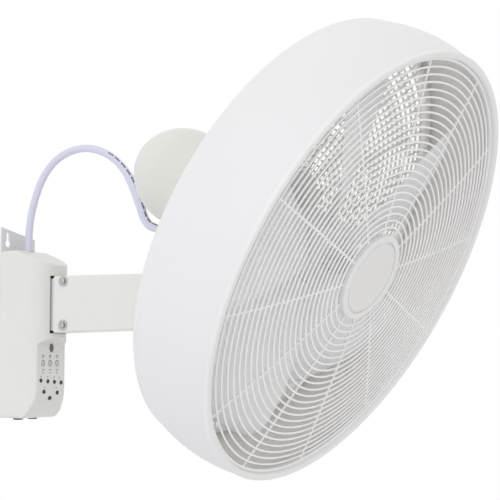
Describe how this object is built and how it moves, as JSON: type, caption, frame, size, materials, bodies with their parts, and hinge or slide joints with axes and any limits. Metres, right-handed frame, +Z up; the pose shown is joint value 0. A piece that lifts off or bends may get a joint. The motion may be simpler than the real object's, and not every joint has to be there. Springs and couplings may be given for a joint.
{
  "type": "wall mounted fan",
  "caption": "Wall mounted fan with a deep drum shaped head, domed motor housing, swinging and tilting neck on a short box arm, slim control box and arched cable.",
  "frame": {"origin": "centre of the arm projected on the wall plate's back face", "axes": "+Z up, -Y out of the wall into the room, +X to the right seen from the room"},
  "size_m": [0.4714, 0.5569, 0.4467],
  "materials": {
    "drum_white": "satin white moulding",
    "grille_white": "white coated ribs",
    "rear_grille_white": "white moulded ribs",
    "blade_clear": "milky translucent",
    "box_white": "fine satin",
    "arm_white": "satin paint",
    "cover_white": "satin",
    "badge_white": "satin",
    "badge_rim": "satin",
    "neck_white": "satin paint",
    "cable_white": "smooth sheath",
    "grommet_white": "matt",
    "screw_steel": "bright",
    "shaft_steel": "ground",
    "zinc": "zinc plated",
    "plate_paint": "satin paint",
    "core_steel": "laminated",
    "copper": "enamelled wire",
    "shield_alloy": "die cast",
    "bronze": "sintered",
    "board_green": "lacquered",
    "black_plastic": "matt",
    "lens_dark": "smoked",
    "window_grey": "translucent",
    "led_clear": "clear",
    "button_grey": "satin",
    "blue_case": "moulded",
    "nut_plastic": "moulded"
  },
  "bodies": {
    "base": {"wall_plate": "plate_paint", "arm_bracket": "zinc", "box_cover": "box_white", "box_base": "box_white", "base_screw": "screw_steel", "box_grommet": "grommet_white", "ir_lens": "lens_dark", "indicator_windows": "window_grey", "control_board": "board_green", "board_screws": "screw_steel", "leds": "led_clear", "ir_receiver": "black_plastic", "relays": "blue_case", "motor_capacitor": "black_plastic", "terminal_block": "nut_plastic", "switch_board": "board_green", "tact_switches": "black_plastic", "arm": "arm_white", "arm_end_cap": "arm_white", "arm_screws": "screw_steel", "arm_washers": "screw_steel", "tilt_bolt": "screw_steel", "tilt_nut": "screw_steel", "tilt_washers": "nut_plastic", "cable": "cable_white"},
    "neck": {"neck": "neck_white", "neck_grommet": "grommet_white", "stem_washer": "screw_steel", "stem_screw": "screw_steel", "lug_rivet": "screw_steel"},
    "head": {"drum": "drum_white", "front_ring": "drum_white", "front_grille": "grille_white", "badge_bezel": "badge_rim", "badge_disc": "badge_white", "rear_grille": "rear_grille_white", "drum_screws": "screw_steel", "grille_screws": "screw_steel", "front_cover": "cover_white", "rear_cover": "cover_white", "motor_front_shield": "shield_alloy", "motor_rear_shield": "shield_alloy", "stator_core": "core_steel", "stator_windings": "copper", "motor_bolts": "screw_steel", "front_bearing": "bronze", "rear_bearing": "bronze", "swing_frame": "zinc", "swing_motor": "zinc"},
    "rotor": {"motor_shaft": "shaft_steel", "rotor_core": "core_steel", "impeller": "blade_clear", "hub_pin": "shaft_steel", "spinner_nut": "nut_plastic"},
    "crank": {"crank_disc": "black_plastic"},
    "link": {"swing_link": "zinc"},
    "power_button": {"power_button": "button_grey"},
    "mode_button": {"mode_button": "button_grey"}
  },
  "joints": [
    {"name": "tilt", "type": "hinge", "parent": "base", "child": "neck", "pos_m": [0, -0.2136, 0.0168], "axis": [1, 0, 0], "range_deg": [-18.2, 6.8], "deforming": ["cable"]},
    {"name": "swing", "type": "hinge", "parent": "neck", "child": "head", "pos_m": [0, -0.24715, 0.07937], "axis": [0, -0.4726, 0.8813], "range_deg": [-40, 40]},
    {"name": "fan_spin", "type": "hinge", "parent": "head", "child": "rotor", "pos_m": [0, -0.26747, 0.11727], "axis": [0, -0.8813, -0.4726], "continuous": true},
    {"name": "crank_spin", "type": "hinge", "parent": "head", "child": "crank", "pos_m": [0, -0.21033, 0.10593], "axis": [0, -0.4726, 0.8813], "continuous": true},
    {"name": "link_swing", "type": "hinge", "parent": "neck", "child": "link", "pos_m": [0.0155, -0.2481, 0.08113], "axis": [0, -0.4726, 0.8813], "range_deg": [-37.5, 37.5]},
    {"name": "power_button_press", "type": "slide", "parent": "base", "child": "power_button", "axis": [0, 0, 1], "range_m": [0, 0.0012], "stiffness_N_per_m": 800, "springref_m": -0.0005},
    {"name": "mode_button_press", "type": "slide", "parent": "base", "child": "mode_button", "axis": [0, 0, 1], "range_m": [0, 0.0012], "stiffness_N_per_m": 800, "springref_m": -0.0005}
  ],
  "couplings": [
    {"joint": "link_swing", "follows": "swing", "ratio": 0.92}
  ]
}
